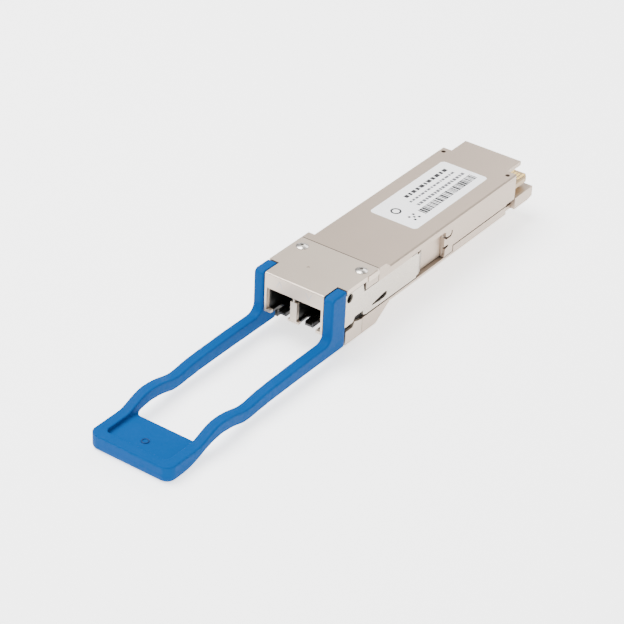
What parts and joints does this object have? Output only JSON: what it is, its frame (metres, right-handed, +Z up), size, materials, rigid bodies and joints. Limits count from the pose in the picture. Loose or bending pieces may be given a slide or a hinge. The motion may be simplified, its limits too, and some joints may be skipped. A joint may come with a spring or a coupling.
{
  "type": "optical transceiver module",
  "caption": "Pluggable optical transceiver with a metal body, duplex fibre receptacle, card-edge contacts and a spring-returned release slider with a blue pull tab.",
  "frame": {"origin": "under the middle of the whole part, at its lowest point", "axes": "+X across the module, +Y along it towards the card-edge contacts, +Z up through the labelled face; the pull tab points to -Y"},
  "size_m": [0.0186, 0.1212, 0.0148],
  "materials": {
    "nickel_plate": "satin nickel plating on die-cast zinc",
    "nickel_sheet": "satin nickel-plated stamped sheet",
    "screw_steel": "polished",
    "black_plastic": "fine matt moulded",
    "ceramic": "polished zirconia",
    "steel_bracket": "satin",
    "gold_package": "satin gold plating",
    "flex_film": "satin polyimide",
    "green_board": "solder-mask gloss",
    "gold_contact": "hard gold plating",
    "chip_black": "matt epoxy",
    "ferrite": "matt",
    "passive_body": "matt ceramic",
    "thermal_pad": "soft matt",
    "gasket_rubber": "matt conductive elastomer",
    "label_film": "satin white film",
    "spring_steel": "bright drawn wire",
    "blue_tab": "satin moulded elastomer"
  },
  "bodies": {
    "module": {"top_cover": "nickel_plate", "bottom_housing": "nickel_plate", "nose_frame": "nickel_plate", "nose_cover": "nickel_sheet", "nose_screw_left": "screw_steel", "nose_screw_right": "screw_steel", "base_screw_left": "screw_steel", "base_screw_right": "screw_steel", "lc_receptacle": "black_plastic", "sleeve_left": "ceramic", "sleeve_right": "ceramic", "optics_clamp": "steel_bracket", "tosa_package": "gold_package", "rosa_package": "gold_package", "tosa_flex": "flex_film", "rosa_flex": "flex_film", "main_board": "green_board", "contacts_top": "gold_contact", "contacts_bottom": "gold_contact", "cdr_chip_tx": "chip_black", "cdr_chip_rx": "chip_black", "controller_chip": "chip_black", "regulator_chip": "chip_black", "inductors": "ferrite", "passives": "passive_body", "thermal_pad_chips": "thermal_pad", "thermal_pad_optics": "thermal_pad", "emi_gasket": "gasket_rubber", "label": "label_film", "return_spring_left": "spring_steel", "return_spring_right": "spring_steel"},
    "release": {"release_arm_left": "nickel_sheet", "release_arm_right": "nickel_sheet", "pull_tab": "blue_tab"}
  },
  "joints": [
    {"name": "release_slide", "type": "slide", "parent": "module", "child": "release", "axis": [0, -1, 0], "range_m": [0, 0.002], "stiffness_N_per_m": 1500, "deforming": ["return_spring_left", "return_spring_right"]}
  ]
}
